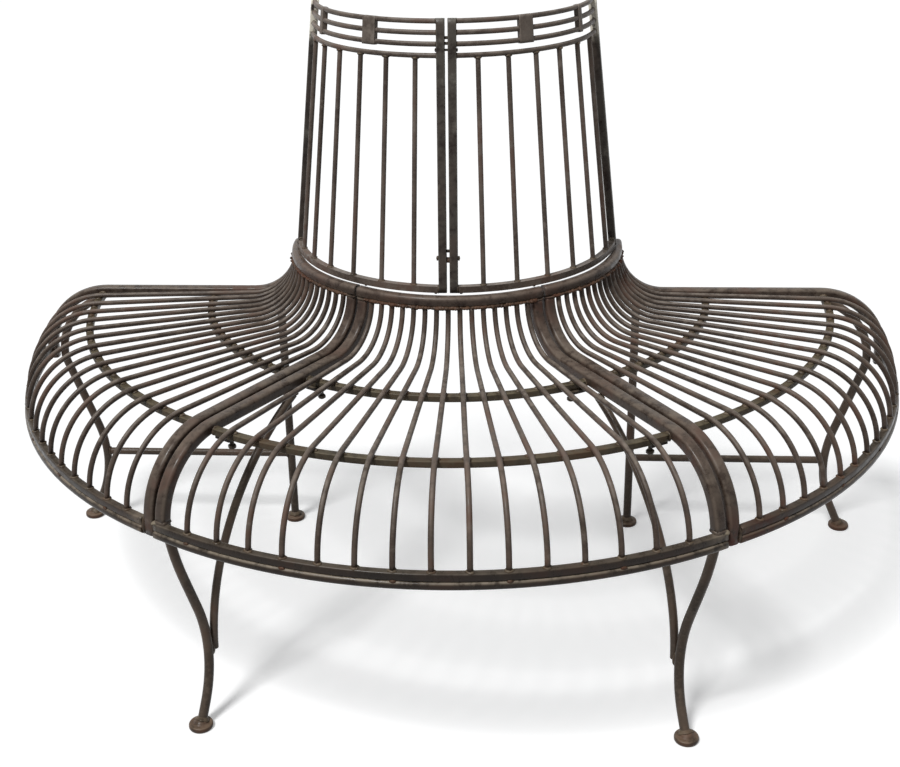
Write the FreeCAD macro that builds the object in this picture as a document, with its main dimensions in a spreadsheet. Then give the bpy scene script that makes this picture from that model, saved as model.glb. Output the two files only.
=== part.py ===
import FreeCAD, Part
import math
import os
import Sketcher

# Half-round tree bench in welded steel: three slatted seat sections on bent tube legs,
# with a two-panel railed back that wraps round the trunk.
# The origin lies on the floor under the middle of the bench's depth. Azimuths start at
# -Y, the front of the bench, and grow towards +X. The back's radii run from the tree's
# axis, those of a seat section from its own fan centre close by.
doc = FreeCAD.newDocument("tree_bench")
sheet = doc.addObject("Spreadsheet::Sheet", "sizes")

SIZES = {
    # the fan of slats and the joints between the seat sections
    "seam_azimuth": 31.9,
    "end_azimuth": 90,
    "seam_gap": 5.5,
    "slat_count": 15,
    "slat_diameter": 8,
    "frame_width": 17.5,
    "frame_wall": 1.5,
    "frame_corner": 3,
    # the seat's side profile, on the upper face of its slats and frames
    "seat_top": 447.5,
    "seat_front_radius": 706,
    "front_roll_radius": 118,
    "back_curve_radius": 72,
    # rails and supports of a seat section
    "inner_rail_radius": 248,
    "inner_rail_depth": 17,
    "inner_rail_height": 17,
    "inner_rail_drop": 5,
    "front_rail_inset": 4,
    "front_rail_top": 337.5,
    "front_bar_depth": 12,
    "front_bar_height": 12,
    "front_bar_step": 2,
    "inner_support_radius": 396.5,
    "outer_support_inset": 112.5,
    "support_depth": 12,
    "support_height": 10,
    "support_drop": 0.9,
    # bent legs, straight legs, stretchers, struts and disc feet
    "leg_diameter": 14,
    "leg_wall": 1.5,
    "seam_leg_wrap": 50,
    "seam_leg_top_side": -16,
    "seam_leg_foot_side": 20.9,
    "seam_leg_waist_radius": 400,
    "seam_leg_knee_inset": 59.5,
    "seam_leg_knee_height": 126.5,
    "seam_leg_knee_radius": 203,
    "seam_leg_foot_inset": 19.4,
    "end_leg_drop": 13,
    "end_leg_cane_radius": 107,
    "end_leg_inset": 16.5,
    "end_leg_waist_radius": 60,
    "end_leg_knee_inset": 86.5,
    "end_leg_knee_height": 128,
    "end_leg_knee_radius": 200,
    "end_leg_foot_inset": 49.3,
    "inner_leg_radius": 282.5,
    "inner_leg_length": 435.4,
    "stretcher_height": 133.5,
    "stretcher_diameter": 12.5,
    "strut_diameter": 12,
    "strut_radius": 375,
    "strut_side": 8,
    "strut_top": 432,
    "strut_drop": 5.7,
    "strut_seat": 1,
    "strut_foot_height": 101.5,
    "foot_diameter": 35,
    "foot_height": 8,
    "foot_dome_diameter": 25,
    "foot_centre": 1.5,
    # back panels, on the tree's axis, just outside the inner rails
    "back_set_out": 12,
    "back_fall": 43.5,
    "back_lift": 3,
    "back_height": 395,
    "bottom_rail_size": 10,
    "back_end_azimuth": 82,
    "stile_width": 12.5,
    "stile_corner": 2,
    "stile_rise": 4,
    "stile_gap": 4.2,
    "bar_count": 6,
    "bar_diameter": 7.5,
    "top_rail_count": 4,
    "top_rail_diameter": 7.5,
    "top_rail_step": 16,
    "collar_width": 15.5,
    "collar_depth": 10,
    "collar_inner_azimuth": 31,
    "collar_outer_azimuth": 61,
    # plates and fasteners
    "plate_length": 26,
    "plate_width": 20,
    "plate_thickness": 4,
    "plate_inset": 2,
    "plate_side": 24,
    "plate_bolt_side": 8,
    "plate_bolt_diameter": 6,
    "plate_nut_width": 10,
    "plate_nut_height": 5,
    "plate_nut_drop": 8,
    "stile_bolt_diameter": 4,
    "stile_nut_width": 7,
    "stile_nut_height": 3.2,
    "bolt_tail": 4,
    "upper_bolt_drop": 40,
    "lower_bolt_rise": 52,
    "pin_diameter": 5,
    "front_pin_azimuth": 4.2,
    "seam_pin_azimuth": 29.6,
    "end_pin_azimuth": 70,
    "clearance": 0.3,
}
for row, (alias, amount) in enumerate(SIZES.items(), start=1):
    sheet.set("A%d" % row, alias)
    sheet.set("B%d" % row, str(amount))
    sheet.setAlias("B%d" % row, alias)
doc.recompute()

NODES = []
GAP = "sizes.clearance"
SEAM = "sizes.seam_azimuth * 1 deg"
END = "sizes.end_azimuth * 1 deg"


def number(expression):
    """The present value of an expression over the sheet, in millimetres or degrees."""
    value = sheet.evalExpression(expression)
    return float(getattr(value, "Value", value))


def node(obj, label):
    """Name a finished sub-part and list it for the files."""
    obj.Label = label
    NODES.append(obj)
    return obj


def place(obj, centre, azimuth, side="0", height="0", outward="0"):
    """Turn a sub-part's X axis outward at an azimuth, from a centre, with its offsets."""
    x, y = centre
    obj.setExpression(
        ".Placement.Base.x",
        "%s + (%s) * cos(%s) + (%s) * sin(%s)" % (x, side, azimuth, outward, azimuth))
    obj.setExpression(
        ".Placement.Base.y",
        "%s + (%s) * sin(%s) - (%s) * cos(%s)" % (y, side, azimuth, outward, azimuth))
    obj.setExpression(".Placement.Base.z", height)
    obj.setExpression(".Placement.Rotation.Angle", "%s - 90 deg" % azimuth)


def new_body(label):
    return doc.addObject("PartDesign::Body", label)


def origin_part(body, role):
    """The plane or axis with this role in a body's own origin."""
    return [part for part in body.Origin.OriginFeatures if part.Role == role][0]


def upright_sketch(body, name):
    """A sketch on the body's XZ plane: outward and up."""
    sketch = body.newObject("Sketcher::SketchObject", name)
    sketch.AttachmentSupport = (origin_part(body, "XZ_Plane"), "")
    sketch.MapMode = "FlatFace"
    return sketch


def flat_sketch(body, name, height):
    """A sketch parallel to the body's XY plane, at a height."""
    sketch = body.newObject("Sketcher::SketchObject", name)
    sketch.AttachmentSupport = (origin_part(body, "XY_Plane"), "")
    sketch.MapMode = "FlatFace"
    sketch.setExpression(".AttachmentOffset.Base.z", height)
    return sketch


def line(sketch, start, end):
    first = FreeCAD.Vector(start[0], start[1], 0)
    last = FreeCAD.Vector(end[0], end[1], 0)
    return sketch.addGeometry(Part.LineSegment(first, last))


def arc(sketch, centre, radius, start, end):
    """An arc from one angle to the next, anticlockwise, in degrees."""
    circle = Part.Circle(FreeCAD.Vector(centre[0], centre[1], 0), FreeCAD.Vector(0, 0, 1), radius)
    return sketch.addGeometry(Part.ArcOfCircle(circle, math.radians(start), math.radians(end)))


def tie(sketch, kind, *places):
    sketch.addConstraint(Sketcher.Constraint(kind, *places))


def dimension(sketch, kind, places, expression):
    """A dimension that follows an expression over the sheet."""
    index = sketch.addConstraint(Sketcher.Constraint(kind, *places, number(expression)))
    sketch.setExpression("Constraints[%d]" % index, expression)


def locate(sketch, geometry, point, x, y):
    """Fix a point of a sketch at its distances from the sketch's origin."""
    dimension(sketch, "DistanceX", (-1, 1, geometry, point), x)
    dimension(sketch, "DistanceY", (-1, 1, geometry, point), y)


def rectangle(sketch, left, bottom, width, height):
    x0, y0 = number(left), number(bottom)
    x1, y1 = x0 + number(width), y0 + number(height)
    corners = [(x0, y0), (x1, y0), (x1, y1), (x0, y1)]
    sides = [line(sketch, corners[k], corners[(k + 1) % 4]) for k in range(4)]
    for k in range(4):
        tie(sketch, "Coincident", sides[k], 2, sides[(k + 1) % 4], 1)
        tie(sketch, "Vertical" if k % 2 else "Horizontal", sides[k])
    locate(sketch, sides[0], 1, left, bottom)
    dimension(sketch, "DistanceX", (sides[0], 1, sides[0], 2), width)
    dimension(sketch, "DistanceY", (sides[1], 1, sides[1], 2), height)


def circle(sketch, x, y, diameter):
    centre = FreeCAD.Vector(number(x), number(y), 0)
    ring = Part.Circle(centre, FreeCAD.Vector(0, 0, 1), number(diameter) / 2)
    index = sketch.addGeometry(ring)
    locate(sketch, index, 3, x, y)
    dimension(sketch, "Diameter", (index,), diameter)


def rounded_square(sketch, width, corner):
    """A square about the sketch's origin with its four corners rounded."""
    half, radius = number(width) / 2, number(corner)
    flat = half - radius
    turns = [(1, 0), (0, 1), (-1, 0), (0, -1)]
    sides, bends = [], []
    for k, (c, s) in enumerate(turns):
        start = (half * c + flat * s, half * s - flat * c)
        end = (half * c - flat * s, half * s + flat * c)
        sides.append(line(sketch, start, end))
        middle = (flat * (c - s), flat * (s + c))
        bends.append(arc(sketch, middle, radius, 90 * k, 90 * k + 90))
    for k in range(4):
        tie(sketch, "Tangent", sides[k], 2, bends[k], 1)
        tie(sketch, "Tangent", bends[k], 2, sides[(k + 1) % 4], 1)
        tie(sketch, "Horizontal" if k % 2 else "Vertical", sides[k])
    for bend in bends[1:]:
        tie(sketch, "Equal", bends[0], bend)
    dimension(sketch, "Radius", (bends[0],), corner)
    dimension(sketch, "DistanceX", (-1, 1, sides[0], 1), "%s / 2" % width)
    dimension(sketch, "DistanceY", (-1, 1, sides[1], 1), "%s / 2" % width)
    dimension(sketch, "DistanceX", (-1, 1, sides[2], 1), "-%s / 2" % width)
    dimension(sketch, "DistanceY", (-1, 1, sides[3], 1), "-%s / 2" % width)


def square_tube(sketch):
    rounded_square(sketch, "sizes.frame_width", "sizes.frame_corner")
    bore = "(sizes.frame_width - 2 * sizes.frame_wall)"
    rounded_square(sketch, bore, "sizes.frame_corner * %s / sizes.frame_width" % bore)


def round_tube(sketch):
    circle(sketch, "0", "0", "sizes.leg_diameter")
    circle(sketch, "0", "0", "sizes.leg_diameter - 2 * sizes.leg_wall")


def round_rod(diameter):
    return lambda sketch: circle(sketch, "0", "0", diameter)


def square_bar(sketch):
    rounded_square(sketch, "sizes.stile_width", "sizes.stile_corner")


def follow(body, path, start, draw_section):
    """Carry a section along a path sketch, drawn square to it at its start point."""
    doc.recompute()
    for index, edge in enumerate(path.Shape.Edges):
        ends = [edge.valueAt(edge.FirstParameter), edge.valueAt(edge.LastParameter)]
        gaps = [math.hypot(end.x - start[0], end.z - start[1]) for end in ends]
        if min(gaps) < 0.01:
            section = body.newObject("Sketcher::SketchObject", "section")
            section.AttachmentSupport = (path, "Edge%d" % (index + 1))
            section.MapMode = "NormalToEdge"
            section.MapPathParameter = float(gaps.index(min(gaps)))
    draw_section(section)
    pipe = body.newObject("PartDesign::AdditivePipe", "pipe")
    pipe.Profile = section
    pipe.Spine = path
    return pipe


def fan(body, feature, count, extent):
    """Repeat a feature about the body's Z axis over an angle."""
    pattern = body.newObject("PartDesign::PolarPattern", "fan")
    pattern.Originals = [feature]
    pattern.Axis = (origin_part(body, "Z_Axis"), [""])
    pattern.Mode = "Extent"
    pattern.setExpression("Angle", extent)
    pattern.setExpression("Occurrences", count)
    body.Tip = pattern
    return pattern


def turned(body, sketch, angle="360 deg"):
    """Revolve a sketch about the body's Z axis, from its X axis towards its Y axis."""
    turn = body.newObject("PartDesign::Revolution", "turn")
    turn.Profile = sketch
    turn.ReferenceAxis = (sketch, ["V_Axis"])
    turn.setExpression("Angle", angle)
    return turn


def flat_arc(label, centre, start, end, radius, bottom, depth, height):
    """A bar of rectangular section bent round a centre, from one azimuth to another."""
    body = new_body(label)
    section = upright_sketch(body, "section")
    rectangle(section, "%s - %s / 2" % (radius, depth), bottom, depth, height)
    turned(body, section, "%s - (%s)" % (end, start))
    place(body, centre, "(%s)" % start)
    return node(body, label)


# Seat sections. Each is a fan about its own centre: 15 bent rods between two square
# tube frames, welded to an inner rail, two supports below and a double front rail.
SEAM_SIDE = "((sizes.frame_width + sizes.seam_gap) / 2)"
FRAME_HALF = "(sizes.frame_width / 2)"
FRONT_RAIL_TOP = "sizes.front_rail_top"
FRONT_RAIL_BOTTOM = "(%s - 2 * sizes.front_bar_height)" % FRONT_RAIL_TOP
FRONT_RAIL_RADIUS = "(sizes.seat_front_radius - sizes.front_rail_inset)"
FRONT_RAIL_BACK = "(%s - sizes.front_bar_depth / 2)" % FRONT_RAIL_RADIUS
INNER_RAIL_BOTTOM = "(sizes.seat_top + sizes.back_curve_radius - sizes.inner_rail_drop)"
SUPPORT_TOP = "(sizes.seat_top - sizes.slat_diameter - sizes.support_drop)"
SUPPORT_BOTTOM = "(%s - sizes.support_height)" % SUPPORT_TOP
SUPPORT_RADII = {
    "inner": "sizes.inner_support_radius",
    "outer": "(sizes.seat_front_radius - sizes.outer_support_inset)",
}

# The end frames' outer faces and the tree's axis lie on the bench's straight back line.
# Each section's fan centre is where the centre lines of its two frames meet.
FAN_STEP = "(%s / sin(%s))" % (SEAM_SIDE, SEAM)
FRONT_REACH = "(%s + sizes.front_bar_step + sizes.front_bar_depth / 2)" % FRONT_RAIL_RADIUS
TREE_Y = "((%s + %s) / 2)" % (FRONT_REACH, FAN_STEP)
AXIS = ("0", TREE_Y)
CENTRE_FAN = ("0", "(%s - %s)" % (TREE_Y, FAN_STEP))
END_REACH = "(%s * sin(%s) + %s) / cos(%s)" % (SEAM_SIDE, SEAM, FRAME_HALF, SEAM)
SIDE_FAN_X = "(%s * cos(%s) + %s * sin(%s))" % (SEAM_SIDE, SEAM, END_REACH, SEAM)
SIDE_FAN_Y = "(%s - %s)" % (TREE_Y, FRAME_HALF)
FANS = {
    "centre": (CENTRE_FAN, "(-1 * %s)" % SEAM, "(%s)" % SEAM),
    "left": (("-1 * %s" % SIDE_FAN_X, SIDE_FAN_Y), "(-1 * %s)" % END, "(-1 * %s)" % SEAM),
    "right": ((SIDE_FAN_X, SIDE_FAN_Y), "(%s)" % SEAM, "(%s)" % END),
}
FRAME_NAMES = {
    "centre": ("centre_left_frame", "centre_right_frame"),
    "left": ("left_end_frame", "left_seam_frame"),
    "right": ("right_seam_frame", "right_end_frame"),
}


def seat_path(body, half, foot):
    """The seat's side profile: a hollow curve, a flat and a front roll, which ends in a
    straight drop where its foot lies below the roll's centre."""
    path = upright_sketch(body, "profile")
    hollow_x = "sizes.inner_rail_radius + sizes.inner_rail_depth / 2 + sizes.back_curve_radius"
    hollow_z = "sizes.seat_top + sizes.back_curve_radius"
    hollow_radius = "(sizes.back_curve_radius + %s)" % half
    roll_x = "sizes.seat_front_radius - sizes.front_roll_radius"
    roll_radius = "(sizes.front_roll_radius - %s)" % half
    slant = "%s * (sizes.inner_rail_drop + %s) / %s" % (half, GAP, hollow_radius)
    head = "%s - %s - %s" % (INNER_RAIL_BOTTOM, GAP, slant)
    lift = math.asin((number(hollow_z) - number(head)) / number(hollow_radius))
    flat_z = number("sizes.seat_top - %s" % half)
    roll_z = flat_z - number(roll_radius)
    centre = (number(hollow_x), number(hollow_z))
    hollow = arc(path, centre, number(hollow_radius), 180 + math.degrees(lift), 270)
    flat = line(path, (centre[0], flat_z), (number(roll_x), flat_z))
    above = max(0, number(foot) - roll_z)
    if above > 0:
        roll_centre = "(sizes.seat_top - sizes.front_roll_radius)"
        foot = "%s + %s * (%s - %s) / %s" % (foot, half, foot, roll_centre, roll_radius)
        above = number(foot) - roll_z
    cut = math.degrees(math.asin(above / number(roll_radius)))
    roll = arc(path, (number(roll_x), roll_z), number(roll_radius), cut, 90)
    tie(path, "Tangent", hollow, 2, flat, 1)
    tie(path, "Tangent", flat, 2, roll, 2)
    tie(path, "Horizontal", flat)
    locate(path, hollow, 3, hollow_x, hollow_z)
    dimension(path, "Radius", (hollow,), hollow_radius)
    dimension(path, "Radius", (roll,), roll_radius)
    dimension(path, "DistanceX", (-1, 1, roll, 3), roll_x)
    dimension(path, "DistanceY", (-1, 1, hollow, 1), head)
    if above > 0:
        dimension(path, "DistanceY", (-1, 1, roll, 1), foot)
    else:
        front_x = number(roll_x) + number(roll_radius)
        drop = line(path, (front_x, roll_z), (front_x, number(foot)))
        tie(path, "Tangent", roll, 1, drop, 1)
        tie(path, "Vertical", drop)
        dimension(path, "DistanceY", (-1, 1, drop, 2), foot)
    reach = number(hollow_radius) * math.cos(lift)
    return path, (centre[0] - reach, number(head))


def seat_frame(label, centre, azimuth, foot):
    """A square tube bent to the seat's side profile."""
    body = new_body(label)
    path, head = seat_path(body, FRAME_HALF, foot)
    follow(body, path, head, square_tube)
    place(body, centre, azimuth)
    return node(body, label)


def seat_slats(label, centre, start, end):
    """The fan of bent rods between two frames, at equal angles."""
    body = new_body(label)
    path, head = seat_path(body, "(sizes.slat_diameter / 2)", "%s + %s" % (FRONT_RAIL_TOP, GAP))
    rod = follow(body, path, head, round_rod("sizes.slat_diameter"))
    pitch = "(%s - %s) / (sizes.slat_count + 1)" % (end, start)
    fan(body, rod, "sizes.slat_count", "%s * (sizes.slat_count - 1)" % pitch)
    place(body, centre, "(%s + %s)" % (start, pitch))
    return node(body, label)


def angle_at(side, radius):
    """The angle that a sideways distance takes up at a radius."""
    return "asin((%s) / (%s))" % (side, radius)


for name, (centre, start, end) in FANS.items():
    frame_foot = "%s + %s" % (FRONT_RAIL_TOP, GAP) if name == "centre" else FRONT_RAIL_BOTTOM
    seat_frame(FRAME_NAMES[name][0], centre, start, frame_foot)
    seat_frame(FRAME_NAMES[name][1], centre, end, frame_foot)
    seat_slats("%s_slats" % name, centre, start, end)

    # the inner rail caps the slats and both frames
    inner = "sizes.inner_rail_radius - sizes.inner_rail_depth / 2"
    cap = angle_at(FRAME_HALF, inner)
    flat_arc(
        "%s_inner_rail" % name, centre, "(%s - %s)" % (start, cap), "(%s + %s)" % (end, cap),
        "sizes.inner_rail_radius", INNER_RAIL_BOTTOM, "sizes.inner_rail_depth",
        "sizes.inner_rail_height")

    # the supports run under the slats from frame to frame
    for place_name, radius in SUPPORT_RADII.items():
        inset = angle_at("%s + %s" % (FRAME_HALF, GAP), "%s - sizes.support_depth / 2" % radius)
        flat_arc(
            "%s_%s_support" % (name, place_name), centre,
            "(%s + %s)" % (start, inset), "(%s - %s)" % (end, inset),
            radius, SUPPORT_BOTTOM, "sizes.support_depth", "sizes.support_height")

    # the front rail's two bars carry the middle frames on top and butt on the others
    for bar, (drop, step) in {"upper": (1, "0"), "lower": (2, "sizes.front_bar_step")}.items():
        radius = "(%s + %s)" % (FRONT_RAIL_RADIUS, step)
        inner = "%s - sizes.front_bar_depth / 2" % radius
        if name == "centre":
            inset = "(-1 * %s)" % angle_at(FRAME_HALF, inner)
        else:
            inset = angle_at("%s + %s" % (FRAME_HALF, GAP), inner)
        flat_arc(
            "%s_front_rail_%s" % (name, bar), centre,
            "(%s + %s)" % (start, inset), "(%s - %s)" % (end, inset), radius,
            "%s - %d * sizes.front_bar_height" % (FRONT_RAIL_TOP, drop),
            "sizes.front_bar_depth", "sizes.front_bar_height")


# Legs. Four are tubes bent like a cane at the top and drawn in to a knee above a disc
# foot: two nest under the seams' front rolls and lean to the middle, two stand beside
# the end frames with a straight leg behind each.
END_LEG_SIDE = "(%s + sizes.leg_diameter / 2 + %s)" % (FRAME_HALF, GAP)
DOME_RADIUS = "(sizes.foot_dome_diameter / 2)"
LEG_BORE = "(sizes.leg_diameter / 2 - sizes.leg_wall)"
SEAT_ON_DOME = "(sqrt(%s ^ 2 - %s ^ 2) + %s)" % (DOME_RADIUS, LEG_BORE, GAP)
ROLL_CENTRE = "(sizes.seat_top - sizes.front_roll_radius)"
LEG_BEHIND_RAIL = "(%s - sizes.leg_diameter / 2 - %s)" % (FRONT_RAIL_BACK, GAP)
SEAM_CANE = "(sizes.front_roll_radius - sizes.frame_width - sizes.leg_diameter / 2 - 6 * %s)" % GAP
SEAM_SPREAD = "(sizes.seam_leg_foot_side - sizes.seam_leg_top_side)"
KNEE = "(sizes.seat_front_radius - sizes.%s_knee_inset)"
FOOT = "(sizes.seat_front_radius - sizes.%s_foot_inset)"
LEGS = {
    "seam_leg": {
        "lean": "atan(%s / %s)" % (SEAM_SPREAD, ROLL_CENTRE),
        "cane_radius": SEAM_CANE,
        "cane_height": ROLL_CENTRE,
        "bulge": "(sizes.seat_front_radius - sizes.front_roll_radius + %s)" % SEAM_CANE,
    },
    "end_leg": {
        "lean": "0 deg",
        "cane_radius": "sizes.end_leg_cane_radius",
        "cane_height": "(sizes.seat_top - sizes.end_leg_drop - sizes.end_leg_cane_radius)",
        "bulge": "(%s - sizes.end_leg_inset)" % LEG_BEHIND_RAIL,
    },
}


def tangent_angle(centre, other, total):
    """Angle from a centre to the point where a line that crosses between two circles
    touches it: the direction between the centres, turned by acos(radii / distance)."""
    across, up = other[0] - centre[0], other[1] - centre[1]
    return math.degrees(math.atan2(up, across) + math.acos(total / math.hypot(across, up)))


def leg_path(body, leg, inside):
    """The bent leg's line: cane arc, waist arc, straight, knee arc and straight foot, in
    a plane that leans sideways about the floor line. Heights grow by 1 / cos(lean)."""
    form = LEGS[leg]
    lean = form["lean"]
    path = upright_sketch(body, "line")
    tilt_axis = FreeCAD.Rotation(FreeCAD.Vector(inside, 0, 0), 1)
    path.AttachmentOffset = FreeCAD.Placement(FreeCAD.Vector(0, 0, 0), tilt_axis)
    path.setExpression(".AttachmentOffset.Rotation.Angle", lean)
    cane_x = "%s - %s" % (form["bulge"], form["cane_radius"])
    cane_z = "%s / cos(%s)" % (form["cane_height"], lean)
    knee_x = "%s + sizes.%s_knee_radius" % (KNEE % leg, leg)
    knee_z = "sizes.%s_knee_height / cos(%s)" % (leg, lean)
    sole_z = "sizes.foot_centre / cos(%s)" % lean
    cane_radius = number(form["cane_radius"])
    waist_radius = number("sizes.%s_waist_radius" % leg)
    knee_radius = number("sizes.%s_knee_radius" % leg)
    cane = (number(cane_x), number(cane_z))
    waist = (number(form["bulge"]) - waist_radius, cane[1])
    knee = (number(knee_x), number(knee_z))
    sole = (number(FOOT % leg), number(sole_z))
    if leg == "seam_leg":
        head = math.radians(number("sizes.seam_leg_wrap"))
    else:
        outer_face = "(%s + sizes.support_depth / 2)" % SUPPORT_RADII["outer"]
        start_x = "sqrt(%s ^ 2 - %s ^ 2) + 2 * %s" % (outer_face, END_LEG_SIDE, GAP)
        head = math.acos((number(start_x) - cane[0]) / cane_radius)
    slope = tangent_angle(waist, knee, waist_radius + knee_radius)
    reach = math.hypot(sole[0] - knee[0], sole[1] - knee[1])
    bearing = math.atan2(sole[1] - knee[1], sole[0] - knee[0]) + 2 * math.pi
    ankle = bearing - math.acos(knee_radius / reach)

    def on(centre, radius, angle):
        return (centre[0] + radius * math.cos(angle), centre[1] + radius * math.sin(angle))

    low = on(knee, knee_radius, ankle)
    length = math.hypot(sole[0] - low[0], sole[1] - low[1])
    seat = 1 - number(SEAT_ON_DOME) / length
    stop = (low[0] + (sole[0] - low[0]) * seat, low[1] + (sole[1] - low[1]) * seat)
    tilt = math.radians(slope)
    upper = arc(path, cane, cane_radius, 0, math.degrees(head))
    lower = arc(path, waist, waist_radius, slope, 0)
    straight = line(path, on(waist, waist_radius, tilt), on(knee, -knee_radius, tilt))
    bend = arc(path, knee, knee_radius, 180 + slope, math.degrees(ankle))
    shin = line(path, low, stop)
    ankle_line = line(path, stop, sole)
    path.toggleConstruction(ankle_line)
    tie(path, "Tangent", upper, 1, lower, 2)
    tie(path, "Tangent", lower, 1, straight, 1)
    tie(path, "Tangent", straight, 2, bend, 1)
    tie(path, "Tangent", bend, 2, shin, 1)
    tie(path, "Tangent", shin, 2, ankle_line, 1)
    tie(path, "Horizontal", upper, 3, upper, 1)
    locate(path, upper, 3, cane_x, cane_z)
    dimension(path, "Radius", (upper,), form["cane_radius"])
    if leg == "seam_leg":
        top_x = "%s + %s * cos(sizes.seam_leg_wrap * 1 deg)" % (cane_x, form["cane_radius"])
        dimension(path, "DistanceX", (-1, 1, upper, 2), top_x)
    else:
        dimension(path, "DistanceX", (-1, 1, upper, 2), start_x)
    dimension(path, "Radius", (lower,), "sizes.%s_waist_radius" % leg)
    dimension(path, "Radius", (bend,), "sizes.%s_knee_radius" % leg)
    locate(path, bend, 3, knee_x, knee_z)
    locate(path, ankle_line, 2, FOOT % leg, sole_z)
    dimension(path, "Distance", (ankle_line,), SEAT_ON_DOME)
    top = on(cane, cane_radius, head)
    return path, (top[0], top[1] * math.cos(math.radians(number(lean))))


def bent_leg(label, leg, centre, azimuth, foot_side, inside):
    body = new_body(label)
    path, head = leg_path(body, leg, inside)
    follow(body, path, head, round_tube)
    place(body, centre, azimuth, foot_side)
    return node(body, label)


def disc_foot(label, centre, azimuth, side, outward):
    """A flat disc with a low dome on it, on which the leg's tube stands."""
    disc = doc.addObject("Part::Cylinder", label + "_disc")
    disc.setExpression("Radius", "sizes.foot_diameter / 2")
    disc.setExpression("Height", "sizes.foot_height")
    place(disc, centre, azimuth, side, "0", outward)
    dome = doc.addObject("Part::Sphere", label + "_dome")
    dome.setExpression("Radius", DOME_RADIUS)
    dome.setExpression("Angle1", "-1 * asin(sizes.foot_centre / %s)" % DOME_RADIUS)
    place(dome, centre, azimuth, side, "sizes.foot_centre", outward)
    foot = doc.addObject("Part::MultiFuse", label)
    foot.Shapes = [disc, dome]
    foot.Refine = True
    return node(foot, label)


def straight_leg(label, centre, azimuth, side):
    """A plain tube from its disc foot up to the curve of the end frame."""
    body = new_body(label)
    section = flat_sketch(body, "section", "sizes.foot_centre + %s" % SEAT_ON_DOME)
    round_tube(section)
    tube = body.newObject("PartDesign::Pad", "tube")
    tube.Profile = section
    tube.setExpression("Length", "sizes.inner_leg_length")
    place(body, centre, azimuth, side, "0", "sizes.inner_leg_radius")
    return node(body, label)


def stretcher(label, centre, side, sign):
    """A round bar from the straight leg to the knee of the end leg."""
    bar = doc.addObject("Part::Cylinder", label)
    start = "sizes.inner_leg_radius + sizes.leg_diameter / 2 + %s" % GAP
    bar.setExpression("Radius", "sizes.stretcher_diameter / 2")
    bar.setExpression(
        "Height",
        "%s - sizes.leg_diameter / 2 - %s - (%s)" % (KNEE % "end_leg", GAP, start))
    bar.Placement.Rotation = FreeCAD.Rotation(FreeCAD.Vector(0, 1, 0), 90 * sign)
    x, y = centre
    bar.setExpression(".Placement.Base.x", "%s + %d * (%s)" % (x, sign, start))
    bar.setExpression(".Placement.Base.y", "%s - %s" % (y, side))
    bar.setExpression(".Placement.Base.z", "sizes.stretcher_height")
    return node(bar, label)


def strut(label, centre, azimuth, side):
    """A rod bowed outward, from under the middle frame down to the seam leg's knee."""
    body = new_body(label)
    path = upright_sketch(body, "bow")
    top_x = "sizes.strut_top"
    top_z = "sizes.seat_top - sizes.frame_width - sizes.strut_drop"
    reach = "(sizes.leg_diameter + sizes.strut_diameter) / 2 + %s - sizes.strut_seat" % GAP
    low_x = "%s - (%s)" % (KNEE % "seam_leg", reach)
    low_z = "sizes.strut_foot_height"
    top = (number(top_x), number(top_z))
    low = (number(low_x), number(low_z))
    radius = number("sizes.strut_radius")
    chord = math.hypot(low[0] - top[0], low[1] - top[1])
    middle = ((top[0] + low[0]) / 2, (top[1] + low[1]) / 2)
    depth = math.sqrt(radius ** 2 - chord ** 2 / 4) / chord
    hub = (middle[0] + depth * (low[1] - top[1]), middle[1] - depth * (low[0] - top[0]))
    angles = [math.degrees(math.atan2(end[1] - hub[1], end[0] - hub[0])) for end in (low, top)]
    bow = arc(path, hub, radius, *angles)
    dimension(path, "Radius", (bow,), "sizes.strut_radius")
    locate(path, bow, 1, low_x, low_z)
    locate(path, bow, 2, top_x, top_z)
    follow(body, path, top, round_rod("sizes.strut_diameter"))
    place(body, centre, azimuth, side)
    return node(body, label)


for name, sign in (("left", -1), ("right", 1)):
    seam = "(%d * %s)" % (sign, SEAM)
    end = "(%d * %s)" % (sign, END)
    side_fan = FANS[name][0]
    seam_foot = "(sizes.seam_leg_foot_side - sizes.foot_centre * %s / %s)" % (SEAM_SPREAD, ROLL_CENTRE)
    seam_side = "%d * %s" % (-sign, seam_foot)
    end_side = "%d * %s" % (-sign, END_LEG_SIDE)
    bent_leg(
        "%s_seam_leg" % name, "seam_leg", CENTRE_FAN, seam,
        "%d * sizes.seam_leg_foot_side" % -sign, -sign)
    disc_foot("%s_seam_foot" % name, CENTRE_FAN, seam, seam_side, FOOT % "seam_leg")
    strut("%s_strut" % name, CENTRE_FAN, seam, "%d * sizes.strut_side" % -sign)
    bent_leg("%s_end_leg" % name, "end_leg", side_fan, end, end_side, -sign)
    disc_foot("%s_end_foot" % name, side_fan, end, end_side, FOOT % "end_leg")
    straight_leg("%s_inner_leg" % name, side_fan, end, end_side)
    disc_foot("%s_inner_foot" % name, side_fan, end, end_side, "sizes.inner_leg_radius")
    stretcher("%s_stretcher" % name, side_fan, END_LEG_SIDE, sign)


# Back. Two panels meet in front of the bench's centre line and lean in to the tree:
# a bottom rail, six bars and four round top rails between two square stiles.
BACK_BOTTOM = "(%s + sizes.inner_rail_height + sizes.back_lift)" % INNER_RAIL_BOTTOM
BACK_RAIL_MIDDLE = "(%s + sizes.bottom_rail_size / 2)" % BACK_BOTTOM
TOP_RAIL = "(%s + sizes.back_height)" % BACK_BOTTOM
STILE_HALF = "(sizes.stile_width / 2)"
INNER_STILE_SIDE = "(%s + sizes.stile_gap / 2)" % STILE_HALF
BACK_END = "sizes.back_end_azimuth * 1 deg"
BACK_BOTTOM_RADIUS = "(sizes.inner_rail_radius + sizes.back_set_out)"
BACK_RISE = "(%s - %s)" % (TOP_RAIL, BACK_RAIL_MIDDLE)


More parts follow.
